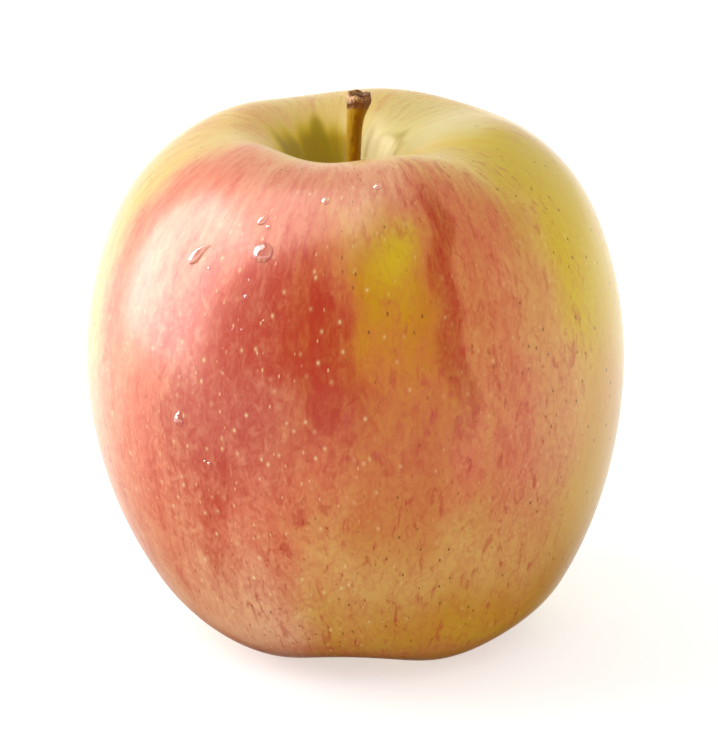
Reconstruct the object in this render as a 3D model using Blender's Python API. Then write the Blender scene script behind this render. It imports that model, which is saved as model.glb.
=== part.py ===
"""A whole apple with its stem, its dried calyx and the larger water drops on its skin.

Metres, +Z up. The origin is on the table under the middle of the fruit, and -Y is its front.
Angles go round from the front, with +X at 90 degrees.
"""

from math import cos, pi, radians, sin

import bmesh
import bpy
import numpy as np

# Fruit
WIDEST_RADIUS = 0.0400
WIDEST_HEIGHT = 0.0421
CREST_RADIUS = 0.0179
CREST_HEIGHT = 0.0770
FOOT_RADIUS = 0.0170
BASIN_DEPTH = 0.0090
HOLLOW_RADIUS = 0.0100
HOLLOW_DEPTH = 0.0155
HOLLOW_X = -0.0026

# Five lobes, as an apple has five seed chambers
LOBES = 5
FOOT_LOBE_DEPTH = 0.0009
FOOT_FLAT_DEPTH = 0.0002
FOOT_LIFT = FOOT_LOBE_DEPTH - FOOT_FLAT_DEPTH
FOOT_LOBE_ANGLE = radians(33.5)
FOOT_LOBE_RADIUS = 0.0190
FOOT_LOBE_REACH = 0.0100
LOBE_SWELL = 12.0
CREST_LOBE_HEIGHT = 0.00046
CREST_LOBE_ANGLE = radians(21)
CREST_LOBE_REACH = 0.0090

# How the fruit grew a little to one side
LEAN = 0.0006
BOW = -0.00078
HEEL_TILT = 0.029

# Stem: upright, with a foot in the floor of the hollow and a torn, cupped end
STEM_X = -0.0003
STEM_FOOT_HEIGHT = 0.0587
STEM_FOOT_RADIUS = 0.00125
STEM_TOP_HEIGHT = 0.0822
STEM_END_RADIUS = 0.00185
STEM_END_SHIFT = 0.0008
STEM_OVAL = 0.04
STEM_END_UNEVEN = 0.00022
STEM_CRATER_DEPTH = 0.0008

# Calyx, the dried flower end in the basin under the fruit
CALYX_X = 0.0007
CALYX_RADIUS = 0.0024
CALYX_HEIGHT = 0.0086
CALYX_THICKNESS = 0.0012
SEPALS = 5
SEPAL_TURN = 0.3
SEPAL_LENGTH = 0.0052
SEPAL_WIDTH = 0.0026
SEPAL_THICKNESS = 0.0005

# Gap that two pieces keep where they meet, and how far a cutter reaches past what it cuts
GAP = 0.0003
CUT_REACH = 0.0060

# How finely each form is divided, round and along, and the length that a radian of turning counts as
FRUIT_DIVISIONS = (72, 48)
STEM_DIVISIONS = (20, 28)
SEPAL_DIVISIONS = (8, 12)
DROP_DIVISIONS = (14, 8)
SOCKET_SIDES = 24
TURN_LENGTH = 0.012
STEM_TURN_LENGTH = 0.0015
SHARP_ANGLE = radians(35)

# Water drops: degrees round the fruit, height, width, length, thickness, degrees that the upper
# end turns right from straight up, its taper, and how far it bends aside
DROPS = (
    (-41.3, 0.0662, 0.0021, 0.0042, 0.0008, 27, 0.75, 0.0007),
    (-23.7, 0.0678, 0.0031, 0.0031, 0.0012, 0, 0.0, 0.0),
    (-26.6, 0.0715, 0.0015, 0.0020, 0.0006, 30, 0.45, 0.0),
    (-10.0, 0.0741, 0.0016, 0.0013, 0.0005, 60, 0.2, 0.0),
    (6.3, 0.0755, 0.0012, 0.0012, 0.0005, 0, 0.0, 0.0),
    (-39.0, 0.0430, 0.0018, 0.0024, 0.0006, 0, 0.25, 0.0),
)


def smooth_curve(points, samples=1500):
    """Points along the natural cubic curve through the given ones."""
    p = np.array(points, float)
    gap = np.linalg.norm(np.diff(p, axis=0), axis=1) ** 0.6
    knots = np.concatenate([[0.0], np.cumsum(gap)])
    system = np.eye(len(p))
    target = np.zeros_like(p)
    for i in range(1, len(p) - 1):
        before, after = gap[i - 1], gap[i]
        system[i, i - 1 : i + 2] = before / 6, (before + after) / 3, after / 6
        target[i] = (p[i + 1] - p[i]) / after - (p[i] - p[i - 1]) / before
    bend = np.linalg.solve(system, target)
    t = np.linspace(0, knots[-1], samples)
    i = np.clip(np.searchsorted(knots, t) - 1, 0, len(p) - 2)
    width = gap[i][:, None]
    left = (knots[i + 1] - t)[:, None] / width
    right = 1 - left
    arched = (left**3 - left) * bend[i] + (right**3 - right) * bend[i + 1]
    return left * p[i] + right * p[i + 1] + arched * width**2 / 6


def evenly_spaced(curve, turn_length, samples=800):
    """The curve's points at even steps, where each radian that it turns counts as turn_length more."""
    step = np.diff(curve[:, :2], axis=0)
    heading = np.unwrap(np.arctan2(step[:, 1], step[:, 0]))
    length = np.linalg.norm(step, axis=1) + turn_length * np.abs(np.gradient(heading))
    way = np.concatenate([[0.0], np.cumsum(length)])
    even = np.linspace(0, way[-1], samples)
    return np.stack([np.interp(even, way, column) for column in curve.T], axis=1)


def at_share(curve, share):
    """Each column of an evenly spaced curve, at a share of the way from 0 to 1."""
    shares = np.linspace(0, 1, len(curve))
    return [np.interp(share, shares, column) for column in curve.T]


def ease(x):
    x = np.clip(x, 0, 1)
    return x * x * (3 - 2 * x)


def fruit_outline():
    """Half of the fruit's section, from the middle of the basin round to the floor of the stem hollow."""
    lower = WIDEST_HEIGHT - FOOT_LIFT
    upper = CREST_HEIGHT - WIDEST_HEIGHT
    return [
        (0.0, FOOT_LIFT + BASIN_DEPTH),
        (0.0045, FOOT_LIFT + 0.0080),
        (0.0100, FOOT_LIFT + 0.0038),
        (FOOT_RADIUS, FOOT_LIFT),
        (0.0275, FOOT_LIFT + 0.0036),
        (0.0322, FOOT_LIFT + 0.235 * lower),
        (0.03705, FOOT_LIFT + 0.52 * lower),
        (WIDEST_RADIUS, WIDEST_HEIGHT),
        (0.0373, WIDEST_HEIGHT + 0.48 * upper),
        (0.03065, WIDEST_HEIGHT + 0.82 * upper),
        (CREST_RADIUS, CREST_HEIGHT),
        (HOLLOW_RADIUS, CREST_HEIGHT - 0.0032),
        (HOLLOW_RADIUS - 0.0018, CREST_HEIGHT - 0.0056),
        (0.0024, CREST_HEIGHT - HOLLOW_DEPTH + 0.0020),
        (0.0, CREST_HEIGHT - HOLLOW_DEPTH),
    ]


FRUIT_CURVE = evenly_spaced(smooth_curve(fruit_outline()), TURN_LENGTH)


def fruit_point(share, angle):
    """Points of the skin: share runs from the basin, under the fruit, up to the floor of the hollow."""
    radius, height = at_share(FRUIT_CURVE, share)
    rise = height / CREST_HEIGHT
    low = np.clip(1 - rise / 0.55, 0, 1) ** 2
    high = np.clip((rise - 0.6) / 0.4, 0, 1) ** 2
    foot_lobe = FOOT_LOBE_DEPTH * low * np.cos(LOBES * (angle - FOOT_LOBE_ANGLE))
    crest_lobe = CREST_LOBE_HEIGHT * high * np.cos(LOBES * (angle - CREST_LOBE_ANGLE))
    wide = radius * (1 + LOBE_SWELL * foot_lobe)
    z = height - HEEL_TILT * low * np.sin(angle) * np.maximum(radius - FOOT_RADIUS, 0)
    z -= foot_lobe * np.exp(-(((radius - FOOT_LOBE_RADIUS) / FOOT_LOBE_REACH) ** 2))
    z += crest_lobe * np.exp(-(((radius - CREST_RADIUS) / CREST_LOBE_REACH) ** 2))
    middle = LEAN * (0.5 - rise) - BOW * (1 - 2 * rise) ** 2
    hollow_middle = STEM_X + (HOLLOW_X - STEM_X) * np.minimum(radius / HOLLOW_RADIUS, 1)
    middle += (rise > 0.6) * ease(1.25 - radius / CREST_RADIUS) * (hollow_middle - middle)
    # The lowest parts of the lobes are flat, which makes five small feet
    x = middle + wide * np.sin(angle)
    return np.stack([x, -wide * np.cos(angle), np.maximum(z, 0)], axis=-1)


def stem_outline():
    """Radius, height and shift to the right, from the foot up and over the rim into the crater."""
    top = STEM_TOP_HEIGHT
    return [
        (0.0, STEM_FOOT_HEIGHT, 0.0),
        (0.9 * STEM_FOOT_RADIUS, STEM_FOOT_HEIGHT, 0.0),
        (STEM_FOOT_RADIUS, STEM_FOOT_HEIGHT + 0.0004, 0.0),
        (0.00108, top - 0.0150, 0.0),
        (0.00107, top - 0.0107, 0.0),
        (0.00112, top - 0.0071, 0.00005),
        (0.00121, top - 0.0050, 0.00015),
        (0.00138, top - 0.0034, 0.00032),
        (0.00162, top - 0.0023, 0.00055),
        (0.00178, top - 0.0012, 0.00070),
        (STEM_END_RADIUS, top - 0.0006, 0.00077),
        (0.82 * STEM_END_RADIUS, top, STEM_END_SHIFT),
        (0.50 * STEM_END_RADIUS, top - 0.6 * STEM_CRATER_DEPTH, STEM_END_SHIFT),
        (0.0, top - STEM_CRATER_DEPTH, STEM_END_SHIFT),
    ]


STEM_CURVE = evenly_spaced(smooth_curve(stem_outline()), STEM_TURN_LENGTH)


def stem_point(share, angle):
    radius, height, shift = at_share(STEM_CURVE, share)
    near_end = ease((height - STEM_TOP_HEIGHT) / 0.0030 + 1)
    oval = STEM_OVAL * np.cos(2 * angle + 0.6) + 0.05 * near_end * np.cos(3 * angle + 0.4)
    torn = 0.6 * np.cos(2 * angle - 0.5) + 0.5 * np.cos(3 * angle + 1.2) + 0.4 * np.cos(5 * angle + 2.0)
    radius = radius * (1 + oval)
    z = height + STEM_END_UNEVEN * near_end * torn * radius / STEM_END_RADIUS
    return np.stack([STEM_X + shift + radius * np.sin(angle), -radius * np.cos(angle), z], axis=-1)


def sepal_point(turn):
    """The form of one sepal, which hangs from the calyx, leans in and curls out at its tip."""

    def place(share, angle):
        radial = CALYX_RADIUS * (0.72 - 0.75 * share + 1.35 * share**3)
        closed_end = np.sin(pi * np.minimum(6 * share, 0.5))
        width = SEPAL_WIDTH * (1 - share) ** 0.7 * (0.25 + share) ** 0.3
        across = 0.5 * width * closed_end * np.sin(angle)
        thickness = SEPAL_THICKNESS * closed_end * (1 - 0.6 * share)
        radial += 0.5 * thickness * np.cos(angle) - 2.0 * across**2 / SEPAL_WIDTH
        x = CALYX_X + radial * sin(turn) + across * cos(turn)
        y = across * sin(turn) - radial * cos(turn)
        z = CALYX_HEIGHT + 0.6 * CALYX_THICKNESS - SEPAL_LENGTH * share
        return np.stack([x, y, z], axis=-1)

    return place


def share_at(angle, height):
    """The share of the way up the fruit's outer side that is at this height."""
    shares = np.linspace(0.2, 0.75, 200)
    return float(np.interp(height, fruit_point(shares, angle)[:, 2], shares))


def unit(vector):
    return vector / np.linalg.norm(vector)


def drop_point(angle, height, width, length, thickness, turn, taper, bend):
    """The form of one drop: a low dome with its middle on the skin and its upper end towards turn."""
    share = share_at(angle, height)
    middle = fruit_point(share, angle)
    step = 1e-3
    upward = unit(fruit_point(share + step, angle) - middle)
    outward = unit(np.cross(fruit_point(share, angle + step) - middle, upward))
    sideways = np.cross(upward, outward)
    head = cos(turn) * upward + sin(turn) * sideways
    side = cos(turn) * sideways - sin(turn) * upward

    def place(drop_share, around):
        ring = np.sin(pi * drop_share)
        along = ring * np.sin(around)
        towards_head = np.maximum(along, 0)
        across = 0.5 * width * ring * np.cos(around) * (1 - taper * (0.5 + 0.5 * along) ** 1.5)
        across += bend * towards_head**2
        out = -thickness * np.cos(pi * drop_share) * (1 - 0.6 * taper * towards_head)
        return middle + np.outer(across, side) + np.outer(0.5 * length * along, head) + np.outer(out, outward)

    return place


def material(name, color, roughness):
    made = bpy.data.materials.new(name)
    made.use_nodes = True
    shader = made.node_tree.nodes["Principled BSDF"]
    shader.inputs["Base Color"].default_value = (*color, 1.0)
    shader.inputs["Roughness"].default_value = roughness
    shader.inputs["Metallic"].default_value = 0.0
    made.diffuse_color = (*color, 1.0)
    return made


def new_collection(name):
    made = bpy.data.collections.new(name)
    bpy.context.scene.collection.children.link(made)
    return made


def new_object(name, bm, collection, surface):
    mesh = bpy.data.meshes.new(name)
    bm.to_mesh(mesh)
    bm.free()
    mesh.shade_smooth()
    mesh.set_sharp_from_angle(angle=SHARP_ANGLE)
    mesh.materials.append(surface)
    made = bpy.data.objects.new(name, mesh)
    collection.objects.link(made)
    return made


def formed_sphere(name, collection, divisions, place, surface):
    """A sphere whose points move to place(share of the way from pole to pole, angle round)."""
    bm = bmesh.new()
    bmesh.ops.create_uvsphere(bm, u_segments=divisions[0], v_segments=divisions[1], radius=1.0)
    points = np.array([vertex.co for vertex in bm.verts])
    share = np.arccos(np.clip(-points[:, 2], -1, 1)) / pi
    angle = np.arctan2(points[:, 0], -points[:, 1])
    for vertex, point in zip(bm.verts, place(share, angle)):
        vertex.co = point
    bmesh.ops.recalc_face_normals(bm, faces=bm.faces)
    return new_object(name, bm, collection, surface)


def cylinder(name, collection, radius, low, high, x, surface):
    bm = bmesh.new()
    bmesh.ops.create_cone(
        bm, cap_ends=True, segments=SOCKET_SIDES, radius1=radius, radius2=radius, depth=high - low
    )
    made = new_object(name, bm, collection, surface)
    made.location = (x, 0.0, 0.5 * (low + high))
    return made


def fuse(obj, others):
    """Join a collection's objects to obj as one body, then remove them."""
    join = obj.modifiers.new("join", "BOOLEAN")
    join.operation = "UNION"
    join.operand_type = "COLLECTION"
    join.collection = others
    bpy.context.view_layer.update()
    graph = bpy.context.evaluated_depsgraph_get()
    joined = bpy.data.meshes.new_from_object(obj.evaluated_get(graph))
    obj.modifiers.clear()
    obj.data = joined
    joined.set_sharp_from_angle(angle=SHARP_ANGLE)
    for other in list(others.objects):
        bpy.data.objects.remove(other)
    bpy.data.collections.remove(others)


def cut(obj, cutter):
    modifier = obj.modifiers.new(cutter.name, "BOOLEAN")
    modifier.operation = "DIFFERENCE"
    modifier.object = cutter
    cutter.hide_render = True
    cutter.display_type = "WIRE"


def make_fruit(parts, cutters):
    skin = material("skin", (0.72, 0.22, 0.06), 0.32)
    fruit = formed_sphere("fruit", parts, FRUIT_DIVISIONS, fruit_point, skin)
    drops = new_collection("drops")
    for number, (angle, height, width, length, thickness, turn, taper, bend) in enumerate(DROPS):
        place = drop_point(radians(angle), height, width, length, thickness, radians(turn), taper, bend)
        formed_sphere(f"drop_{number}", drops, DROP_DIVISIONS, place, skin)
    fuse(fruit, drops)
    socket_radius = STEM_FOOT_RADIUS * (1 + STEM_OVAL) + GAP
    socket_top = CREST_HEIGHT - HOLLOW_DEPTH + CUT_REACH
    socket = cylinder(
        "stem_socket", cutters, socket_radius, STEM_FOOT_HEIGHT - GAP, socket_top, STEM_X, skin
    )
    seat_top = CALYX_HEIGHT + CALYX_THICKNESS + GAP
    seat = cylinder(
        "calyx_seat", cutters, CALYX_RADIUS + GAP, CALYX_HEIGHT - CUT_REACH, seat_top, CALYX_X, skin
    )
    cut(fruit, socket)
    cut(fruit, seat)


def make_stem(parts):
    bark = material("stem", (0.22, 0.12, 0.03), 0.55)
    formed_sphere("stem", parts, STEM_DIVISIONS, stem_point, bark)


def make_calyx(parts):
    dry = material("calyx", (0.10, 0.05, 0.02), 0.85)
    top = CALYX_HEIGHT + CALYX_THICKNESS
    calyx = cylinder("calyx", parts, CALYX_RADIUS, CALYX_HEIGHT, top, CALYX_X, dry)
    sepals = new_collection("sepals")
    for number in range(SEPALS):
        place = sepal_point(2 * pi * number / SEPALS + SEPAL_TURN)
        formed_sphere(f"sepal_{number}", sepals, SEPAL_DIVISIONS, place, dry)
    fuse(calyx, sepals)


def main():
    for obj in list(bpy.data.objects):
        bpy.data.objects.remove(obj)
    parts = new_collection("apple")
    cutters = new_collection("cutters")
    make_fruit(parts, cutters)
    make_stem(parts)
    make_calyx(parts)


main()
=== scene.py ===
"""The looks of a whole apple: skin, stem, dried calyx and water drops, on a pale studio floor.

Metres, +Z up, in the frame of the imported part. The origin is on the floor under the fruit, and -Y
is its front. Angles go round from the front, with +X at 90 degrees. The way up the skin is a share
from 0, in the middle of the basin under the fruit, to 1, on the floor of the stem hollow.
"""

from math import cos, pi, radians, sin

import bmesh
import bpy
import numpy as np
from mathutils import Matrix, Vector, noise


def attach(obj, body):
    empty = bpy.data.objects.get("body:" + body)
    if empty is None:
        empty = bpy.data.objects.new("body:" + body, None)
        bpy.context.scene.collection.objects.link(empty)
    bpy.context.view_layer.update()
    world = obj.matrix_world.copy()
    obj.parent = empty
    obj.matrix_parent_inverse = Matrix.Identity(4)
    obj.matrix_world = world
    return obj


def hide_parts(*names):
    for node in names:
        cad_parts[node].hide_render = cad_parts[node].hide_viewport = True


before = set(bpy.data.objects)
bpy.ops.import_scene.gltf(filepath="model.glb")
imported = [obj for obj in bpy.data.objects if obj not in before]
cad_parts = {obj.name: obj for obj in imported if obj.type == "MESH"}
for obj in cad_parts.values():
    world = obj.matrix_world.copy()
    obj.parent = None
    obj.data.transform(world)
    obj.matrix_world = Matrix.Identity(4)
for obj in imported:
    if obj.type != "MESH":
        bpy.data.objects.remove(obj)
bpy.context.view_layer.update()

# Fruit
WIDEST_RADIUS = 0.0400
WIDEST_HEIGHT = 0.0421
CREST_RADIUS = 0.0179
CREST_HEIGHT = 0.0770
FOOT_RADIUS = 0.0170
BASIN_DEPTH = 0.0090
HOLLOW_RADIUS = 0.0100
HOLLOW_DEPTH = 0.0155
HOLLOW_X = -0.0026

# Five lobes, as an apple has five seed chambers
LOBES = 5
FOOT_LOBE_DEPTH = 0.0009
FOOT_FLAT_DEPTH = 0.0002
FOOT_LIFT = FOOT_LOBE_DEPTH - FOOT_FLAT_DEPTH
FOOT_LOBE_ANGLE = radians(33.5)
FOOT_LOBE_RADIUS = 0.0190
FOOT_LOBE_REACH = 0.0100
LOBE_SWELL = 12.0
CREST_LOBE_HEIGHT = 0.00046
CREST_LOBE_ANGLE = radians(21)
CREST_LOBE_REACH = 0.0090

# How the fruit grew a little to one side
LEAN = 0.0006
BOW = -0.00078
HEEL_TILT = 0.029

# Stem: upright, with a foot in the floor of the hollow and a torn, cupped end
STEM_X = -0.0003
STEM_FOOT_HEIGHT = 0.0587
STEM_FOOT_RADIUS = 0.00125
STEM_TOP_HEIGHT = 0.0822
STEM_END_RADIUS = 0.00185
STEM_END_SHIFT = 0.0008
STEM_OVAL = 0.04
STEM_END_UNEVEN = 0.00022
STEM_CRATER_DEPTH = 0.0008

# Calyx, the dried flower end in the basin under the fruit
CALYX_X = 0.0007
CALYX_RADIUS = 0.0024
CALYX_HEIGHT = 0.0086
CALYX_THICKNESS = 0.0012
SEPALS = 5
SEPAL_TURN = 0.3
SEPAL_LENGTH = 0.0052
SEPAL_WIDTH = 0.0026
SEPAL_THICKNESS = 0.0005

# Withered stamens inside the calyx. Each is turned on from the last by some radians, and starts
# a little way up inside the disc
STAMENS = 9
STAMEN_LENGTH = 0.0026
STAMEN_RADIUS = 0.00016
STAMEN_TURN = 2.4
STAMEN_ROOT = 0.0004

# Studio light: how bright the surroundings are on each side, what the table adds below the
# horizon, and how bright the backdrop looks to the camera
WORLD_FRONT = 0.27
WORLD_BACK = 1.08
WORLD_LEFT = 0.42
WORLD_RIGHT = 0.36
WORLD_TABLE = 1.96
WORLD_TABLE_LEFT = 1.15
BACKDROP = 0.97
# Where a part of the surroundings begins and is full, along one axis of the direction looked in
WORLD_BACK_RANGE = (-0.1, 0.9)
WORLD_LEFT_RANGE = (-0.1, -0.9)
WORLD_RIGHT_RANGE = (0.2, 0.9)
WORLD_TABLE_RANGE = (0.05, -0.10)
WORLD_UNDER_RANGE = (-0.27, -0.66)

# Lamps: name, degrees round and up, distance, width, height, watts, and whether they light the
# colour and the gloss of what they fall on
LAMPS = (
    ("key", -95, 28, 0.6, 0.50, 0.60, 1.90, True, True),
    ("key_gloss", -91, 23, 0.6, 0.56, 0.62, 17.0, False, True),
    ("top_gloss", -80, 66, 0.6, 0.50, 0.50, 6.5, False, True),
    ("front_fill", 10, 40, 1.2, 1.2, 1.2, 3.95, True, False),
)
LAMP_AIM = Vector((0.0, 0.0, 0.040))

# The length that a radian of turning counts as, where points are spread along an outline
TURN_LENGTH = 0.012
STEM_TURN_LENGTH = 0.0015

# How finely each piece is divided, round and along
SKIN_DIVISIONS = (360, 260)
STEM_DIVISIONS = (96, 180)
SEPAL_DIVISIONS = (20, 28)
DROP_DIVISIONS = (40, 28)
DROPLET_DIVISIONS = (20, 14)
DISC_DIVISIONS = (40, 12)
STAMEN_DIVISIONS = (8, 10)

# Relief of the skin: broad flats, and folds down the wall of the stem hollow. Each wave of the
# flats has a size, a count round the fruit, a turn over the way up and a start
FLAT_RELIEF = 0.00012
FLAT_WAVES = ((0.5, 3, 9, 0.0), (0.3, 7, -5, 1.0), (0.35, 4, -17, 2.0))
FOLD_RELIEF = 0.00010
FOLD_FADE_RADIUS = 0.004
FLAT_FADE_RADIUS = 0.008
FLAT_FADE_HEIGHT = (0.001, 0.004)

# Relief of the stem: lumps on its knob, ribs under it and pits in its torn end, and of the sepals
LUMP_RELIEF = 0.00024
RIB_RELIEF = 0.00003
PIT_DEPTH = 0.00022
PIT_SPACING = 0.0005
PIT_WIDTH = 0.0003
KNOB_BELOW_TOP = 0.0011
KNOB_FADE = 0.0016
CRUMPLE_RELIEF = 0.00018

# Water drops: degrees round the fruit, height, width, length, thickness, degrees that the upper
# end turns right from straight up, its taper, and how far it bends aside
DROPS = (
    (-41.3, 0.0662, 0.0021, 0.0042, 0.0008, 27, 0.75, 0.0007),
    (-23.7, 0.0678, 0.0031, 0.0031, 0.0012, 0, 0.0, 0.0),
    (-26.6, 0.0715, 0.0015, 0.0020, 0.0006, 30, 0.45, 0.0),
    (-10.0, 0.0741, 0.0016, 0.0013, 0.0005, 60, 0.2, 0.0),
    (6.3, 0.0755, 0.0012, 0.0012, 0.0005, 0, 0.0, 0.0),
    (-39.0, 0.0430, 0.0018, 0.0024, 0.0006, 0, 0.25, 0.0),
)
# Droplets: degrees round the fruit, height and width. Their thickness is a share of the width
DROPLET_THICKNESS = 0.36
DROPLETS = (
    (-24.3, 0.0708, 0.0009),
    (-25.5, 0.0620, 0.0008),
    (-36.9, 0.0647, 0.0006),
    (-32.6, 0.0375, 0.0006),
    (-31.6, 0.0373, 0.0006),
    (-25.6, 0.0642, 0.0004),
    (-27.5, 0.0574, 0.0004),
    (-25.2, 0.0576, 0.0005),
    (-20.4, 0.0592, 0.0005),
)

# The map for baking: its margin, how far it reaches across and up, and what counts as a pole
MAP_MARGIN = 0.02
MAP_WIDTH = 0.95
MAP_HEIGHT = 0.96
AT_POLE = 1e-6

# Camera, as the photograph was taken
CAMERA_DISTANCE = 0.700
CAMERA_ELEVATION = radians(19.9)
CAMERA_AIM = Vector((0.0005, 0.0, 0.0383))
CAMERA_LENS_MM = 224.2
CAMERA_SENSOR_MM = 36.0

# Floor, and how strongly it glows
FLOOR_RADIUS = 4.0
FLOOR_SEGMENTS = 128
FLOOR_GLOW = 0.50

# Colours, as red, green and blue from 0 to 255
PALE_YELLOW = (234, 200, 110)
PEACH = (242, 178, 142)
GOLD = (198, 124, 12)
LEAF_GREEN = (214, 182, 12)
# Olive of the stem hollow, dark as painted shade
OLIVE_AND_SHADE = (164, 138, 0)
CREAM = (222, 208, 132)
BLUSH = (222, 112, 82)
CRIMSON = (182, 44, 24)
DASH = (190, 72, 52)
LENTICEL = (246, 222, 158)
FRECKLE = (100, 56, 18)
# Painted shade: the dark line round the edge of each drop
DROP_EDGE_SHADE = (120, 30, 20)
STEM_OLIVE = (190, 148, 0)
STEM_BROWN = (134, 80, 0)
STEM_RIGHT = (150, 108, 0)
# Pale specks of the stem, partly its own and partly painted highlights
STEM_SPECK_AND_GLINT = (232, 206, 150)
KNOB_BROWN = (116, 68, 30)
# Tan of the torn end, partly its own and partly painted light
TORN_TAN_AND_LIGHT = (206, 156, 98)
# Dark of the stem's torn end, with painted shade in its pits
CRATER_DARK_AND_SHADE = (58, 26, 8)
CALYX_DARK = (66, 38, 18)
CALYX_PALE = (142, 104, 58)

# Colours in linear light, with their alpha
WHITE = (1.0, 1.0, 1.0, 1.0)
CLEAR_WATER = (1.0, 0.96, 0.94, 1.0)
PAPER_DARK = (0.74, 0.74, 0.74, 1.0)
PAPER_PALE = (0.77, 0.77, 0.77, 1.0)

# How the edges of the patches wander: size, count and start of each wave. The first ones move them
# by degrees along the way up, and the others by a share of the way up along the turn
EDGE_WAVES_ROUND = ((1.6, 31, 1.3), (0.9, 83, 4.0))
EDGE_WAVES_UP = ((0.008, 9, 0.7), (0.005, 23, 2.0))

# Soft patches of colour on the skin: degrees round to the middle, half the width in degrees,
# lowest and highest share of the way up, degrees and share over which the edges fade, and strength
RED_PATCHES = (
    (-34, 27, 0.36, 0.56, 18, 0.16, 0.76),
    (-38, 31, 0.54, 0.745, 15, 0.10, 0.76),
    (-26, 10, 0.52, 0.67, 10, 0.12, 0.40),
    (-22, 22, 0.44, 0.68, 12, 0.14, 0.42),
    (-5, 6, 0.48, 0.66, 5, 0.10, 0.72),
    (-58, 12, 0.46, 0.73, 16, 0.10, 0.42),
    (-96, 32, 0.30, 0.80, 16, 0.10, 0.24),
    (29, 10, 0.44, 0.72, 9, 0.08, 0.58),
    (22, 3.2, 0.43, 0.73, 3.5, 0.08, 0.48),
    (28, 14, 0.64, 0.76, 10, 0.06, 0.42),
    (40, 10, 0.40, 0.69, 14, 0.12, 0.24),
    (20, 40, 0.27, 0.52, 16, 0.14, 0.16),
    (-14, 50, 0.70, 0.80, 16, 0.06, 0.50),
    (9, 9, 0.44, 0.60, 6, 0.12, 0.50),
    (-56, 13, 0.28, 0.54, 18, 0.14, 0.36),
    (10, 70, -0.10, 0.285, 30, 0.03, 0.46),
    (-26, 22, 0.25, 0.40, 20, 0.08, 0.14),
    (-153, 7, 0.81, 0.855, 8, 0.03, 0.25),
    (-112, 26, 0.80, 0.865, 20, 0.04, 0.36),
    (150, 30, 0.80, 0.86, 20, 0.04, 0.20),
    (150, 34, 0.34, 0.74, 36, 0.14, 0.78),
    (-146, 24, 0.36, 0.74, 18, 0.14, 0.66),
    (100, 16, 0.30, 0.50, 14, 0.12, 0.30),
)
CRIMSON_PATCHES = (
    (-29, 16, 0.47, 0.66, 14, 0.12, 0.95),
    (-6, 8, 0.50, 0.64, 6, 0.12, 0.84),
    (-36, 9, 0.34, 0.50, 14, 0.12, 0.36),
    (21.5, 3.0, 0.50, 0.72, 3, 0.10, 0.95),
    (9, 8, 0.44, 0.56, 6, 0.08, 0.30),
    (34, 9, 0.50, 0.70, 12, 0.10, 0.15),
    (150, 12, 0.48, 0.68, 10, 0.10, 0.45),
)
PEACH_PATCHES = (
    (-44, 28, 0.20, 0.76, 14, 0.10, 0.80),
    (-22, 40, 0.72, 0.82, 16, 0.06, 0.75),
    (44, 11, 0.42, 0.66, 12, 0.08, 0.25),
    (-84, 22, 0.22, 0.52, 20, 0.12, 0.75),
    (14, 36, 0.35, 0.50, 20, 0.08, 0.20),
)
GREEN_PATCHES = (
    (10, 5.0, 0.64, 0.70, 9, 0.09, 0.86),
    (8, 6, 0.54, 0.68, 6, 0.10, 0.15),
    (70, 17, 0.54, 0.84, 12, 0.10, 0.90),
    (58, 12, 0.71, 0.84, 10, 0.06, 0.70),
    (46, 26, 0.20, 0.33, 16, 0.08, 0.22),
    (104, 26, 0.50, 0.80, 16, 0.12, 0.50),
    (-118, 14, 0.50, 0.72, 14, 0.12, 0.40),
    (-148, 52, 0.868, 1.10, 24, 0.05, 1.00),
)
GOLD_PATCHES = (
    (10, 10, 0.41, 0.68, 5, 0.10, 0.95),
    (34, 44, 0.20, 0.36, 50, 0.08, 0.75),
    (34, 50, 0.32, 0.50, 30, 0.10, 0.42),
    (-30, 30, 0.20, 0.31, 14, 0.06, 0.60),
    (28, 24, 0.40, 0.74, 12, 0.10, 0.60),
    (54, 14, 0.51, 0.66, 14, 0.10, 0.35),
    (-16, 22, 0.44, 0.70, 12, 0.12, 0.80),
    (76, 22, 0.46, 0.76, 14, 0.10, 0.40),
    (-176, 66, 0.20, 0.75, 24, 0.08, 0.50),
    (-104, 28, 0.24, 0.66, 20, 0.08, 0.32),
)
# Olive in the stem hollow, darkened as painted shade on its deep walls. The narrow third patch is a
# painted shadow of the stem on the left wall
OLIVE_AND_SHADE_PATCHES = (
    (-138, 36, 0.888, 1.10, 24, 0.07, 0.95),
    (-174, 24, 0.900, 1.10, 20, 0.07, 0.60),
    (-158, 5.5, 0.866, 0.95, 7, 0.03, 0.45),
    (155, 24, 0.915, 1.10, 20, 0.06, 0.55),
    (60, 60, 0.930, 1.10, 30, 0.05, 0.40),
    (132, 26, 0.880, 0.960, 22, 0.03, 0.60),
)
CREAM_PATCHES = (
    (120, 40, 0.80, 0.93, 24, 0.04, 0.75),
    (-150, 44, 0.79, 0.865, 24, 0.04, 0.12),
)
DOTTED_PATCHES = (
    (-42, 46, 0.14, 0.58, 24, 0.06, 0.58),
    (-16, 20, 0.56, 0.80, 16, 0.06, 0.55),
    (20, 60, 0.20, 0.80, 24, 0.08, 0.28),
)
MARKED_PATCHES = (
    (10, 44, 0.26, 0.58, 24, 0.10, 0.80),
    (30, 36, 0.52, 0.84, 16, 0.10, 0.55),
    (-44, 40, 0.24, 0.82, 20, 0.08, 0.16),
    (-70, 20, 0.30, 0.62, 14, 0.10, 0.30),
    (170, 90, 0.26, 0.84, 30, 0.10, 0.45),
)

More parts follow.
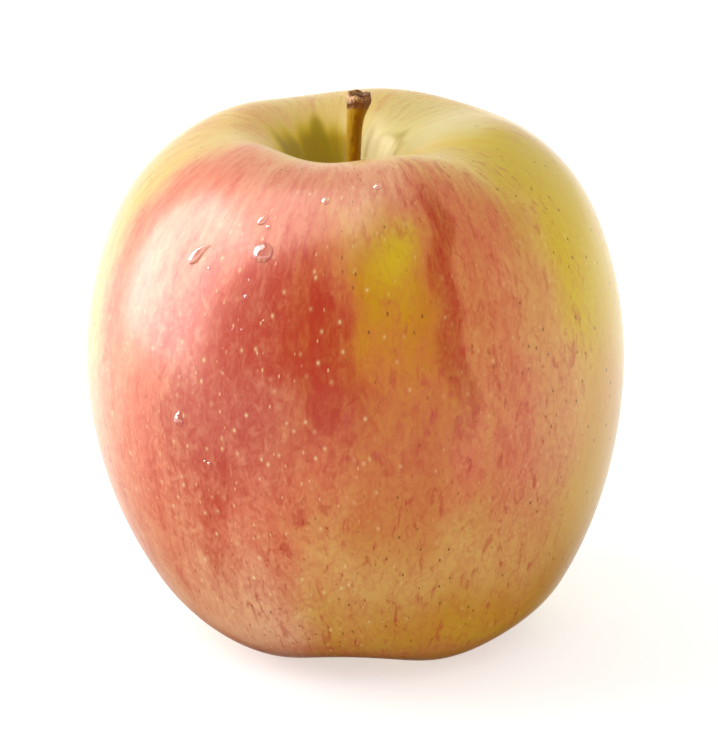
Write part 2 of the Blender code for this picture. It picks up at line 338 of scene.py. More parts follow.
# Skin: gloss, relief, and the values over which its colours and marks come in
SKIN_ROUGHNESS = 0.31
SKIN_SPECULAR = 0.18
SKIN_COAT = 0.08
SKIN_COAT_ROUGHNESS = 0.14
SKIN_BUMP = (0.09, 0.0003)
RED_RANGE = (-0.02, 1.12)
MOST_RED = 0.95
CRIMSON_RANGE = (-0.15, 0.95)
OLIVE_AND_SHADE_RANGE = (0.05, 0.95)
BLOT_RANGE = (0.08, 0.17)
DASH_RANGE = (0.10, 0.24)
VEIN_RANGE = (0.01, 0.09)
FRECKLE_STRENGTH = 0.85
LESS_FRECKLED_RED = 0.8

# Stem: gloss, relief, and the values over which its colours come in
STEM_ROUGHNESS = 0.45
STEM_SPECULAR = 0.12
STEM_BUMP = (0.5, 0.0002)
STEM_BROWN_RANGE = (-0.90, 0.30)
STEM_RIGHT_RANGE = (0.25, 1.0)
STEM_SPECK_AND_GLINT_RANGE = (0.24, 0.34)
STEM_SPECK_AND_GLINT_STRENGTH = 0.45
KNOB_RANGE = (0.15, 0.85)
TORN_RANGE = (0.36, 0.90)

# Calyx, water and floor: roughness and specular level, and the relief of the calyx
CALYX_GLOSS = (0.85, 0.3)
CALYX_BUMP = (0.6, 0.0003)
WATER_GLOSS = (0.02, 0.5)
WATER_IOR = 1.33
PAPER_GLOSS = (0.9, 0.1)

# Grain of the skin: how its flow is stretched along the way up, the scale per millimetre, detail,
# roughness and distortion
SKIN_GRAIN = {
    "broad": (0.22, 0.17, 2.0, 0.5, 0.0),
    "medium": (0.26, 0.62, 2.0, 0.5, 0.0),
    "fine": (0.30, 2.0, 2.0, 0.6, 0.0),
    "mottle": (0.65, 0.60, 4.0, 0.60, 1.2),
    "speckle": (0.55, 2.4, 2.0, 0.5, 0.6),
    "blots": (0.42, 0.55, 3.0, 0.55, 0.6),
    "dashes": (0.38, 1.4, 1.0, 0.5, 0.8),
    "net": (0.75, 0.46, 1.0, 0.50, 0.9),
}
# Dots of the skin: the stretch, the scale per millimetre, and the radius and edge
SKIN_DOTS = {
    "cores": (0.75, 0.45, 0.08, 0.20),
    "halos": (0.75, 0.45, 0.12, 0.42),
    "small": (0.45, 0.72, 0.06, 0.13),
    "brown": (0.60, 0.56, 0.11, 0.12),
}


def smooth_curve(points, samples=1500):
    """Points along the natural cubic curve through the given ones."""
    p = np.array(points, float)
    gap = np.linalg.norm(np.diff(p, axis=0), axis=1) ** 0.6
    knots = np.concatenate([[0.0], np.cumsum(gap)])
    system = np.eye(len(p))
    target = np.zeros_like(p)
    for i in range(1, len(p) - 1):
        before, after = gap[i - 1], gap[i]
        system[i, i - 1 : i + 2] = before / 6, (before + after) / 3, after / 6
        target[i] = (p[i + 1] - p[i]) / after - (p[i] - p[i - 1]) / before
    bend = np.linalg.solve(system, target)
    t = np.linspace(0, knots[-1], samples)
    i = np.clip(np.searchsorted(knots, t) - 1, 0, len(p) - 2)
    width = gap[i][:, None]
    left = (knots[i + 1] - t)[:, None] / width
    right = 1 - left
    arched = (left**3 - left) * bend[i] + (right**3 - right) * bend[i + 1]
    return left * p[i] + right * p[i + 1] + arched * width**2 / 6


def evenly_spaced(curve, turn_length, samples=800):
    """The curve's points at even steps, where each radian of turning counts as turn_length more."""
    step = np.diff(curve[:, :2], axis=0)
    heading = np.unwrap(np.arctan2(step[:, 1], step[:, 0]))
    length = np.linalg.norm(step, axis=1) + turn_length * np.abs(np.gradient(heading))
    way = np.concatenate([[0.0], np.cumsum(length)])
    even = np.linspace(0, way[-1], samples)
    return np.stack([np.interp(even, way, column) for column in curve.T], axis=1)


def at_share(curve, share):
    """Each column of an evenly spaced curve, at a share of the way from 0 to 1."""
    shares = np.linspace(0, 1, len(curve))
    return [np.interp(share, shares, column) for column in curve.T]


def ease(x):
    x = np.clip(x, 0, 1)
    return x * x * (3 - 2 * x)


def fruit_outline():
    """Half of the fruit's section, from the middle of the basin to the floor of the hollow."""
    lower = WIDEST_HEIGHT - FOOT_LIFT
    upper = CREST_HEIGHT - WIDEST_HEIGHT
    return [
        (0.0, FOOT_LIFT + BASIN_DEPTH),
        (0.0045, FOOT_LIFT + 0.0080),
        (0.0100, FOOT_LIFT + 0.0038),
        (FOOT_RADIUS, FOOT_LIFT),
        (0.0275, FOOT_LIFT + 0.0036),
        (0.0322, FOOT_LIFT + 0.235 * lower),
        (0.03705, FOOT_LIFT + 0.52 * lower),
        (WIDEST_RADIUS, WIDEST_HEIGHT),
        (0.0373, WIDEST_HEIGHT + 0.48 * upper),
        (0.03065, WIDEST_HEIGHT + 0.82 * upper),
        (CREST_RADIUS, CREST_HEIGHT),
        (HOLLOW_RADIUS, CREST_HEIGHT - 0.0032),
        (HOLLOW_RADIUS - 0.0018, CREST_HEIGHT - 0.0056),
        (0.0024, CREST_HEIGHT - HOLLOW_DEPTH + 0.0020),
        (0.0, CREST_HEIGHT - HOLLOW_DEPTH),
    ]


FRUIT_CURVE = evenly_spaced(smooth_curve(fruit_outline()), TURN_LENGTH)


def fruit_point(share, angle):
    """Points of the skin, from the basin under the fruit up to the floor of the hollow."""
    radius, height = at_share(FRUIT_CURVE, share)
    rise = height / CREST_HEIGHT
    low = np.clip(1 - rise / 0.55, 0, 1) ** 2
    high = np.clip((rise - 0.6) / 0.4, 0, 1) ** 2
    foot_lobe = FOOT_LOBE_DEPTH * low * np.cos(LOBES * (angle - FOOT_LOBE_ANGLE))
    crest_lobe = CREST_LOBE_HEIGHT * high * np.cos(LOBES * (angle - CREST_LOBE_ANGLE))
    wide = radius * (1 + LOBE_SWELL * foot_lobe)
    z = height - HEEL_TILT * low * np.sin(angle) * np.maximum(radius - FOOT_RADIUS, 0)
    z -= foot_lobe * np.exp(-(((radius - FOOT_LOBE_RADIUS) / FOOT_LOBE_REACH) ** 2))
    z += crest_lobe * np.exp(-(((radius - CREST_RADIUS) / CREST_LOBE_REACH) ** 2))
    middle = LEAN * (0.5 - rise) - BOW * (1 - 2 * rise) ** 2
    hollow_middle = STEM_X + (HOLLOW_X - STEM_X) * np.minimum(radius / HOLLOW_RADIUS, 1)
    middle += (rise > 0.6) * ease(1.25 - radius / CREST_RADIUS) * (hollow_middle - middle)
    # The lowest parts of the lobes are flat, which makes five small feet
    x = middle + wide * np.sin(angle)
    return np.stack([x, -wide * np.cos(angle), np.maximum(z, 0)], axis=-1)


def stem_outline():
    """Radius, height and shift to the right, from the foot up and over the rim into the crater."""
    top = STEM_TOP_HEIGHT
    return [
        (0.0, STEM_FOOT_HEIGHT, 0.0),
        (0.9 * STEM_FOOT_RADIUS, STEM_FOOT_HEIGHT, 0.0),
        (STEM_FOOT_RADIUS, STEM_FOOT_HEIGHT + 0.0004, 0.0),
        (0.00108, top - 0.0150, 0.0),
        (0.00107, top - 0.0107, 0.0),
        (0.00112, top - 0.0071, 0.00005),
        (0.00121, top - 0.0050, 0.00015),
        (0.00138, top - 0.0034, 0.00032),
        (0.00162, top - 0.0023, 0.00055),
        (0.00178, top - 0.0012, 0.00070),
        (STEM_END_RADIUS, top - 0.0006, 0.00077),
        (0.82 * STEM_END_RADIUS, top, STEM_END_SHIFT),
        (0.50 * STEM_END_RADIUS, top - 0.6 * STEM_CRATER_DEPTH, STEM_END_SHIFT),
        (0.0, top - STEM_CRATER_DEPTH, STEM_END_SHIFT),
    ]


STEM_CURVE = evenly_spaced(smooth_curve(stem_outline()), STEM_TURN_LENGTH)


def stem_point(share, angle):
    radius, height, shift = at_share(STEM_CURVE, share)
    near_end = ease((height - STEM_TOP_HEIGHT) / 0.0030 + 1)
    oval = STEM_OVAL * np.cos(2 * angle + 0.6) + 0.05 * near_end * np.cos(3 * angle + 0.4)
    torn = 0.6 * np.cos(2 * angle - 0.5) + 0.5 * np.cos(3 * angle + 1.2)
    torn += 0.4 * np.cos(5 * angle + 2.0)
    radius = radius * (1 + oval)
    z = height + STEM_END_UNEVEN * near_end * torn * radius / STEM_END_RADIUS
    x = STEM_X + shift + radius * np.sin(angle)
    return np.stack([x, -radius * np.cos(angle), z], axis=-1)


def sepal_point(turn):
    """The form of one sepal, which hangs from the calyx, leans in and curls out at its tip."""

    def place(share, angle):
        radial = CALYX_RADIUS * (0.72 - 0.75 * share + 1.35 * share**3)
        closed_end = np.sin(pi * np.minimum(6 * share, 0.5))
        width = SEPAL_WIDTH * (1 - share) ** 0.7 * (0.25 + share) ** 0.3
        across = 0.5 * width * closed_end * np.sin(angle)
        thickness = SEPAL_THICKNESS * closed_end * (1 - 0.6 * share)
        radial += 0.5 * thickness * np.cos(angle) - 2.0 * across**2 / SEPAL_WIDTH
        x = CALYX_X + radial * sin(turn) + across * cos(turn)
        y = across * sin(turn) - radial * cos(turn)
        z = CALYX_HEIGHT + 0.6 * CALYX_THICKNESS - SEPAL_LENGTH * share
        return np.stack([x, y, z], axis=-1)

    return place


def share_at(angle, height):
    """The share of the way up the fruit's outer side that is at this height."""
    shares = np.linspace(0.2, 0.75, 200)
    return float(np.interp(height, fruit_point(shares, angle)[:, 2], shares))


def unit(vector):
    return vector / np.linalg.norm(vector)


def drop_point(angle, height, width, length, thickness, turn, taper, bend):
    """The form of one drop: a low dome on the skin, with its upper end towards turn."""
    share = share_at(angle, height)
    middle = fruit_point(share, angle)
    step = 1e-3
    upward = unit(fruit_point(share + step, angle) - middle)
    outward = unit(np.cross(fruit_point(share, angle + step) - middle, upward))
    sideways = np.cross(upward, outward)
    head = cos(turn) * upward + sin(turn) * sideways
    side = cos(turn) * sideways - sin(turn) * upward

    def place(drop_share, around):
        ring = np.sin(pi * drop_share)
        along = ring * np.sin(around)
        towards_head = np.maximum(along, 0)
        across = 0.5 * width * ring * np.cos(around) * (1 - taper * (0.5 + 0.5 * along) ** 1.5)
        across += bend * towards_head**2
        out = -thickness * np.cos(pi * drop_share) * (1 - 0.6 * taper * towards_head)
        on_skin = np.outer(across, side) + np.outer(0.5 * length * along, head)
        return middle + on_skin + np.outer(out, outward)

    return place


def linear(color):
    """A colour of 0 to 255, as the display shows it, in the renderer's linear light."""
    share = np.array(color, float) / 255
    low = share / 12.92
    high = ((share + 0.055) / 1.055) ** 2.4
    return (*np.where(share <= 0.04045, low, high).tolist(), 1.0)


def put(tree, socket, value):
    """Link a node's output to the socket, or set the socket to a plain value."""
    if isinstance(value, bpy.types.NodeSocket):
        tree.links.new(value, socket)
    else:
        socket.default_value = value


def calc(tree, operation, *values):
    node = tree.nodes.new("ShaderNodeMath")
    node.operation = operation
    for socket, value in zip(node.inputs, values):
        put(tree, socket, value)
    return node.outputs[0]


def stretched(tree, vector, factors):
    node = tree.nodes.new("ShaderNodeVectorMath")
    node.operation = "MULTIPLY"
    put(tree, node.inputs[0], vector)
    put(tree, node.inputs[1], factors)
    return node.outputs[0]


def eased(tree, value, low, high):
    """0 below low, 1 above high, and smooth in between."""
    node = tree.nodes.new("ShaderNodeMapRange")
    node.interpolation_type = "SMOOTHSTEP"
    put(tree, node.inputs["Value"], value)
    node.inputs["From Min"].default_value = low
    node.inputs["From Max"].default_value = high
    return node.outputs[0]


def mixed(tree, factor, first, second):
    node = tree.nodes.new("ShaderNodeMix")
    node.data_type = "RGBA"
    put(tree, node.inputs[0], factor)
    put(tree, node.inputs[6], first)
    put(tree, node.inputs[7], second)
    return node.outputs[2]


def grain(tree, vector, scale, detail=2.0, roughness=0.5, distortion=0.0):
    """Noise around 0, mostly within a quarter either way."""
    node = tree.nodes.new("ShaderNodeTexNoise")
    put(tree, node.inputs["Vector"], vector)
    node.inputs["Scale"].default_value = scale
    node.inputs["Detail"].default_value = detail
    node.inputs["Roughness"].default_value = roughness
    node.inputs["Distortion"].default_value = distortion
    return calc(tree, "SUBTRACT", node.outputs["Fac"], 0.5)


def spots(tree, vector, scale, radius, edge):
    """1 within radius of scattered points, fading to 0 over edge."""
    node = tree.nodes.new("ShaderNodeTexVoronoi")
    put(tree, node.inputs["Vector"], vector)
    node.inputs["Scale"].default_value = scale
    away = node.outputs["Distance"]
    return calc(tree, "SUBTRACT", 1.0, eased(tree, away, radius * scale, (radius + edge) * scale))


def summed(tree, *terms):
    """The sum of values, each given with its weight."""
    total = None
    for value, weight in terms:
        scaled = calc(tree, "MULTIPLY", value, weight)
        total = scaled if total is None else calc(tree, "ADD", total, scaled)
    return total


def layer(tree, name, output="Fac"):
    node = tree.nodes.new("ShaderNodeAttribute")
    node.attribute_name = name
    return node.outputs[output]


def object_millimetres(tree):
    node = tree.nodes.new("ShaderNodeTexCoord")
    return stretched(tree, node.outputs["Object"], (1000.0, 1000.0, 1000.0))


def raised(tree, height, strength, distance):
    node = tree.nodes.new("ShaderNodeBump")
    node.inputs["Strength"].default_value = strength
    node.inputs["Distance"].default_value = distance
    put(tree, node.inputs["Height"], height)
    return node.outputs[0]


def new_material(name, roughness, specular):
    made = bpy.data.materials.new(name)
    made.use_nodes = True
    shader = made.node_tree.nodes["Principled BSDF"]
    shader.inputs["Roughness"].default_value = roughness
    shader.inputs["Specular IOR Level"].default_value = specular
    return made, made.node_tree, shader


def skin_grain(tree, flow, name):
    stretch, *settings = SKIN_GRAIN[name]
    return grain(tree, stretched(tree, flow, (1.0, 1.0, stretch)), *settings)


def skin_dots(tree, flow, name):
    stretch, *settings = SKIN_DOTS[name]
    return spots(tree, stretched(tree, flow, (1.0, 1.0, stretch)), *settings)


def skin_ground(tree, broad, medium):
    """The skin's colour under the red: yellow, with patches of the other named colours, and olive
    darkened as painted shade in the stem hollow.
    """
    ground = mixed(tree, layer(tree, "gold"), linear(PALE_YELLOW), linear(GOLD))
    ground = mixed(tree, layer(tree, "peach"), ground, linear(PEACH))
    ground = mixed(tree, layer(tree, "green"), ground, linear(LEAF_GREEN))
    ground = mixed(tree, layer(tree, "cream"), ground, linear(CREAM))
    # The hollow's olive is partly its own green and partly painted shade
    olive_and_shade = summed(tree, (layer(tree, "olive_and_shade"), 1.0), (broad, 0.35), (medium, 0.25))
    return mixed(tree, eased(tree, olive_and_shade, *OLIVE_AND_SHADE_RANGE), ground, linear(OLIVE_AND_SHADE))


def skin_marks(tree, flow):
    """How strong the red blots, dashes and veins are, from 0 to 1."""
    blots = eased(tree, skin_grain(tree, flow, "blots"), *BLOT_RANGE)
    dashes = eased(tree, skin_grain(tree, flow, "dashes"), *DASH_RANGE)
    from_vein = calc(tree, "ABSOLUTE", skin_grain(tree, flow, "net"))
    veins = calc(tree, "SUBTRACT", 1.0, eased(tree, from_vein, *VEIN_RANGE))
    marks = summed(tree, (blots, 0.60), (dashes, 0.40), (veins, 0.22))
    return calc(tree, "MINIMUM", calc(tree, "MULTIPLY", marks, layer(tree, "marked")), 1.0)


def skin_material():
    """Yellow to green ground under a red blush of streaks and mottling, with marks and dots."""
    made, tree, shader = new_material("apple_skin", SKIN_ROUGHNESS, SKIN_SPECULAR)
    shader.inputs["Coat Weight"].default_value = SKIN_COAT
    shader.inputs["Coat Roughness"].default_value = SKIN_COAT_ROUGHNESS
    flow = layer(tree, "flow", "Vector")
    broad = skin_grain(tree, flow, "broad")
    medium = skin_grain(tree, flow, "medium")
    fine = skin_grain(tree, flow, "fine")
    mottle = skin_grain(tree, flow, "mottle")
    speckle = skin_grain(tree, flow, "speckle")
    # High up, the red breaks into streaks more, and is less mottled
    streaky = layer(tree, "streaky")
    streaks = calc(tree, "MULTIPLY", medium, calc(tree, "ADD", 0.55, streaky))
    fine_streaks = calc(tree, "MULTIPLY", fine, calc(tree, "ADD", 0.35, streaky))
    less_high_up = calc(tree, "SUBTRACT", 1.15, calc(tree, "MULTIPLY", streaky, 0.70))
    mottling = calc(tree, "MULTIPLY", mottle, less_high_up)
    cover = summed(
        tree,
        (layer(tree, "red"), 1.0),
        (broad, 0.40),
        (streaks, 0.50),
        (fine_streaks, 0.34),
        (mottling, 0.75),
        (speckle, 0.24),
    )
    tint = calc(tree, "MULTIPLY", eased(tree, cover, *RED_RANGE), MOST_RED)
    depth = summed(
        tree,
        (layer(tree, "crimson"), 1.0),
        (broad, 0.6),
        (medium, 0.6),
        (mottle, 0.8),
        (fine, 0.4),
    )
    red = mixed(tree, eased(tree, depth, *CRIMSON_RANGE), linear(BLUSH), linear(CRIMSON))
    color = mixed(tree, tint, skin_ground(tree, broad, medium), red)
    color = mixed(tree, skin_marks(tree, flow), color, linear(DASH))
    cores = skin_dots(tree, flow, "cores")
    halos = skin_dots(tree, flow, "halos")
    small = skin_dots(tree, flow, "small")
    pale_dots = summed(tree, (cores, 0.62), (halos, 0.26), (small, 0.75))
    pale_dots = calc(tree, "MULTIPLY", pale_dots, layer(tree, "dotted"))
    color = mixed(tree, pale_dots, color, linear(LENTICEL))
    brown_dots = calc(tree, "MULTIPLY", skin_dots(tree, flow, "brown"), layer(tree, "freckled"))
    color = mixed(tree, brown_dots, color, linear(FRECKLE))
    put(tree, shader.inputs["Base Color"], color)
    rough = summed(tree, (fine, 0.10), (mottle, 0.10), (layer(tree, "inner"), 0.12))
    put(tree, shader.inputs["Roughness"], calc(tree, "ADD", SKIN_ROUGHNESS, rough))
    relief = summed(tree, (fine, 0.5), (speckle, 0.5), (mottle, 0.6), (cores, 0.25))
    put(tree, shader.inputs["Normal"], raised(tree, relief, *SKIN_BUMP))
    return made


def stem_material():
    """Olive on the left, brown in front, with pale speckles on the knob that are partly its own and
    partly painted highlights on the lit left side, and a dark, torn end whose tan is partly painted
    light and whose pits are darkened as painted shade.
    """
    made, tree, shader = new_material("stem_bark", STEM_ROUGHNESS, STEM_SPECULAR)
    place = object_millimetres(tree)
    side = layer(tree, "side")
    fibre = grain(tree, stretched(tree, place, (1.0, 1.0, 0.14)), 3.0, 3.0, 0.6)
    blotch = grain(tree, stretched(tree, place, (1.0, 1.0, 0.5)), 1.4, 3.0, 0.6)
    speck = grain(tree, place, 6.0, 2.0, 0.6)
    front = summed(tree, (side, 1.0), (fibre, 0.6), (blotch, 1.2))
    brown = eased(tree, front, *STEM_BROWN_RANGE)
    color = mixed(tree, brown, linear(STEM_OLIVE), linear(STEM_BROWN))
    right = eased(tree, summed(tree, (side, 1.0), (fibre, 0.8)), *STEM_RIGHT_RANGE)
    color = mixed(tree, right, color, linear(STEM_RIGHT))
    # Pale specks, partly the stem's own and partly painted highlights, more on the left side where
    # the key light falls
    specks_and_glints = eased(tree, summed(tree, (speck, 1.0), (side, -0.14)), *STEM_SPECK_AND_GLINT_RANGE)
    specks_and_glints = calc(tree, "MULTIPLY", specks_and_glints, STEM_SPECK_AND_GLINT_STRENGTH)
    color = mixed(tree, specks_and_glints, color, linear(STEM_SPECK_AND_GLINT))
    knob = summed(tree, (layer(tree, "knob"), 1.0), (blotch, 1.4), (speck, 0.6))
    knob = eased(tree, knob, *KNOB_RANGE)
    color = mixed(tree, knob, color, linear(KNOB_BROWN))
    # The torn tan is partly the knob's own, round the rim of the torn end, and partly painted light
    # on its left side
    lit = summed(tree, (speck, 2.4), (blotch, 1.0), (layer(tree, "rim"), 0.60), (side, -0.30))
    torn = calc(tree, "MULTIPLY", knob, eased(tree, lit, *TORN_RANGE))
    color = mixed(tree, torn, color, linear(TORN_TAN_AND_LIGHT))
    # The torn end is dark, and darkest in its pits as painted shade
    color = mixed(tree, layer(tree, "crater"), color, linear(CRATER_DARK_AND_SHADE))
    put(tree, shader.inputs["Base Color"], color)
    relief = summed(tree, (fibre, 0.7), (speck, 0.4))
    put(tree, shader.inputs["Normal"], raised(tree, relief, *STEM_BUMP))
    return made


def calyx_material():
    made, tree, shader = new_material("calyx_dry", *CALYX_GLOSS)
    fibre = grain(tree, object_millimetres(tree), 2.2, 4.0, 0.65)
    color = mixed(tree, eased(tree, fibre, -0.2, 0.2), linear(CALYX_DARK), linear(CALYX_PALE))
    put(tree, shader.inputs["Base Color"], color)
    put(tree, shader.inputs["Normal"], raised(tree, fibre, *CALYX_BUMP))
    return made


def water_material():
    """Clear water, with a painted dark line of shade round the edge of each drop."""
    made, tree, shader = new_material("water", *WATER_GLOSS)
    color = mixed(tree, layer(tree, "edge"), CLEAR_WATER, linear(DROP_EDGE_SHADE))
    put(tree, shader.inputs["Base Color"], color)
    shader.inputs["Transmission Weight"].default_value = 1.0
    shader.inputs["IOR"].default_value = WATER_IOR
    shader.inputs["Coat Weight"].default_value = 1.0
    return made


def floor_material():
    """Matt white paper, lit a little from below as on a light table."""
    made, tree, shader = new_material("studio_floor", *PAPER_GLOSS)
    cloudy = grain(tree, object_millimetres(tree), 0.004, 2.0)
    color = mixed(tree, eased(tree, cloudy, -0.3, 0.3), PAPER_DARK, PAPER_PALE)
    put(tree, shader.inputs["Base Color"], color)
    shader.inputs["Emission Color"].default_value = WHITE
    shader.inputs["Emission Strength"].default_value = FLOOR_GLOW
    return made


def new_collection(name):
    made = bpy.data.collections.new(name)
    bpy.context.scene.collection.children.link(made)
    return made


def new_object(name, bm, collection, surface):
    mesh = bpy.data.meshes.new(name)
    bm.to_mesh(mesh)
    bm.free()
    mesh.shade_smooth()
    mesh.materials.append(surface)
    made = bpy.data.objects.new(name, mesh)
    collection.objects.link(made)
    return made


def sphere_points(mesh):
    """For each point of a sphere's mesh, the share of the way up from its pole and the angle."""
    flat = np.empty(len(mesh.vertices) * 3)
    mesh.vertices.foreach_get("co", flat)
    points = flat.reshape(-1, 3)
    share = np.arccos(np.clip(-points[:, 2], -1, 1)) / pi
    return share, np.arctan2(points[:, 0], -points[:, 1])


def formed_sphere(name, collection, divisions, place, surface):
    """A sphere whose points move to place(share, angle), and those shares and angles."""
    bm = bmesh.new()
    bmesh.ops.create_uvsphere(bm, u_segments=divisions[0], v_segments=divisions[1], radius=1.0)
    made = new_object(name, bm, collection, surface)
    mesh = made.data
    share, angle = sphere_points(mesh)
    mesh.vertices.foreach_set("co", np.ascontiguousarray(place(share, angle), float).ravel())
    mesh.update()
    return made, share, angle


def moved_out(obj, distance):
    """Move each point of the mesh outward along its normal by its own distance."""
    mesh = obj.data
    points = np.empty(len(mesh.vertices) * 3)
    mesh.vertices.foreach_get("co", points)
    normals = np.empty(len(mesh.vertices) * 3)
    mesh.vertex_normals.foreach_get("vector", normals)
    moved = points.reshape(-1, 3) + normals.reshape(-1, 3) * distance[:, None]
    mesh.vertices.foreach_set("co", moved.ravel())
    mesh.update()


def store(obj, name, values):
    """Keep a number or a vector for each point, for the material to read."""
    kind, field = ("FLOAT_VECTOR", "vector") if values.ndim == 2 else ("FLOAT", "value")
    kept = obj.data.attributes.new(name, kind, "POINT")
    kept.data.foreach_set(field, np.ascontiguousarray(values, np.float32).ravel())


def unwrap(obj, share, angle):
    """A map with the angle across and the share up, which is cut behind the object."""
    mesh = obj.data
    corner = np.empty(len(mesh.loops), int)
    mesh.loops.foreach_get("vertex_index", corner)
    start = np.empty(len(mesh.polygons), int)
    mesh.polygons.foreach_get("loop_start", start)
    face = np.repeat(np.arange(len(start)), np.diff(np.append(start, len(corner))))
    across = 0.5 + angle[corner] / (2 * pi)
    pole = (share[corner] < AT_POLE) | (share[corner] > 1 - AT_POLE)
    widest = np.full(len(start), -1.0)
    np.maximum.at(widest, face[~pole], across[~pole])
    across = np.where(widest[face] - across > 0.5, across + 1, across)
    total = np.bincount(face[~pole], across[~pole], len(start))
    middle = total / np.bincount(face[~pole], minlength=len(start))
    across = MAP_MARGIN + MAP_WIDTH * np.where(pole, middle[face], across)
    both = np.stack([across, MAP_MARGIN + MAP_HEIGHT * share[corner]], axis=-1)
    mesh.uv_layers.new(name="OFBake").data.foreach_set("uv", both.ravel())


def waves(terms, along):
    """The sum of waves, each with its size, count and start."""
    return sum(size * np.sin(count * along + start) for size, count, start in terms)


def patchy(patches, share, angle):
    """How strongly the patches cover each point, from 0 to 1."""
    degrees = np.degrees(angle) + waves(EDGE_WAVES_ROUND, share)
    share = share + waves(EDGE_WAVES_UP, angle)
    bare = np.ones_like(share)
    for middle, half, low, high, side_fade, end_fade, strength in patches:
        away = np.abs((degrees - middle + 180) % 360 - 180)
        across = ease((half - away) / side_fade + 0.5)
        along = ease((share - low) / end_fade + 0.5) * ease((high - share) / end_fade + 0.5)
        bare = bare * (1 - strength * across * along)
    return 1 - bare


def make_skin(parts):
    surface = skin_material()
    skin, share, angle = formed_sphere("apple_skin", parts, SKIN_DIVISIONS, fruit_point, surface)
    radius, height = at_share(FRUIT_CURVE, share)
    inside = (share > 0.7) * ease(1.3 - radius / HOLLOW_RADIUS)
    flats = sum(
        size * np.sin(count * angle + turn * share + start)
        for size, count, turn, start in FLAT_WAVES
    )
    folds = 0.5 * np.sin(17 * angle + 1.0) + 0.4 * np.sin(29 * angle + 3 * np.sin(2 * angle))
    folds += 0.3 * np.sin(41 * angle + 2.0)
    lowest, fade = FLAT_FADE_HEIGHT
    flattened = FLAT_RELIEF * flats * ease(radius / FLAT_FADE_RADIUS)
    flattened = flattened * ease((height - lowest) / fade)
    folded = FOLD_RELIEF * folds * inside * ease(radius / FOLD_FADE_RADIUS)
    moved_out(skin, flattened + folded)
    steps = np.linalg.norm(np.diff(FRUIT_CURVE, axis=0), axis=1)
    way = np.interp(share, np.linspace(0, 1, len(FRUIT_CURVE)), np.append(0, np.cumsum(steps)))
    round_x, round_y = WIDEST_RADIUS * np.sin(angle), -WIDEST_RADIUS * np.cos(angle)
    store(skin, "flow", 1000 * np.stack([round_x, round_y, way], axis=-1))
    red = patchy(RED_PATCHES, share, angle)
    store(skin, "red", red)
    store(skin, "crimson", patchy(CRIMSON_PATCHES, share, angle))
    store(skin, "green", patchy(GREEN_PATCHES, share, angle))
    store(skin, "gold", patchy(GOLD_PATCHES, share, angle))
    # Olive with painted shade on the deep walls of the stem hollow
    store(skin, "olive_and_shade", patchy(OLIVE_AND_SHADE_PATCHES, share, angle))
    store(skin, "cream", patchy(CREAM_PATCHES, share, angle))
    store(skin, "peach", patchy(PEACH_PATCHES, share, angle))
    store(skin, "inner", inside)
    store(skin, "streaky", ease((share - 0.52) / 0.20))
    store(skin, "marked", patchy(MARKED_PATCHES, share, angle))
    store(skin, "dotted", patchy(DOTTED_PATCHES, share, angle))
    freckled = FRECKLE_STRENGTH * (1 - LESS_FRECKLED_RED * red) * ease((0.86 - share) / 0.06)
    store(skin, "freckled", freckled)
    unwrap(skin, share, angle)
    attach(skin, "root")
    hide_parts("fruit")


def rough_noise(points, scale, seed):
    """Noise around 0 at each point, always the same for a seed."""
    offset = Vector((seed, 2.3 * seed, 1.7 * seed))
    return np.array([noise.noise(Vector(point) * scale + offset) for point in points])


def make_stem(parts):
    surface = stem_material()
    stem, share, angle = formed_sphere("apple_stem", parts, STEM_DIVISIONS, stem_point, surface)
    radius, height, _ = at_share(STEM_CURVE, share)
    below_top = STEM_TOP_HEIGHT - height
    knob = ease(1 - (below_top - KNOB_BELOW_TOP) / KNOB_FADE)
    points = stem_point(share, angle)
    lumps = rough_noise(points, 1500, 3.0) + 0.6 * rough_noise(points, 3200, 7.0)
    ribs = 0.5 * np.sin(7 * angle + 900 * height) + 0.5 * np.sin(13 * angle - 500 * height)
    edge = ease(radius / 0.0004)
    across = points[:, 0] - points[share > 0.99, 0].mean()
    left_pit = np.exp(-(((across + PIT_SPACING) / PIT_WIDTH) ** 2))
    pits = left_pit + np.exp(-(((across - PIT_SPACING) / PIT_WIDTH) ** 2))
    # Dark at the torn end, and darkest in the pits as painted shade
    crater = ease((share - 0.93) / 0.03) * np.minimum(0.25 + 0.75 * pits, 1)
    pitted = PIT_DEPTH * pits * ease((share - 0.92) / 0.03)
    rough = LUMP_RELIEF * knob * lumps + RIB_RELIEF * ribs * (1 - knob)
    moved_out(stem, edge * rough - pitted)
    store(stem, "side", np.sin(angle))
    store(stem, "knob", knob)
    store(stem, "rim", ease(1 - np.abs(below_top - 0.0004) / 0.0008) * (1 - crater))
    store(stem, "crater", crater)
    unwrap(stem, share, angle)
    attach(stem, "root")
    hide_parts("stem")


def make_calyx(parts):
    dry = calyx_material()
    pieces = []
    for number in range(SEPALS):
        place = sepal_point(2 * pi * number / SEPALS + SEPAL_TURN)
        name = f"sepal_{number}"
        sepal, share, angle = formed_sphere(name, parts, SEPAL_DIVISIONS, place, dry)
        crumple = rough_noise(place(share, angle), 900, number + 1.0)
        moved_out(sepal, CRUMPLE_RELIEF * crumple)
        pieces.append(sepal)
    pieces.append(formed_sphere("calyx_disc", parts, DISC_DIVISIONS, disc_point, dry)[0])
    for number in range(STAMENS):
        name = f"stamen_{number}"
        place = stamen_point(number)
        pieces.append(formed_sphere(name, parts, STAMEN_DIVISIONS, place, dry)[0])
    calyx = joined("apple_calyx", pieces)
    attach(calyx, "root")
    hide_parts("calyx")


def joined(name, pieces):
    """One object from several, which are removed."""
    bm = bmesh.new()
    for piece in pieces:
        bm.from_mesh(piece.data)
    surface = pieces[0].data.materials[0]
    collection = pieces[0].users_collection[0]
    for piece in pieces:
        bpy.data.objects.remove(piece)
    return new_object(name, bm, collection, surface)


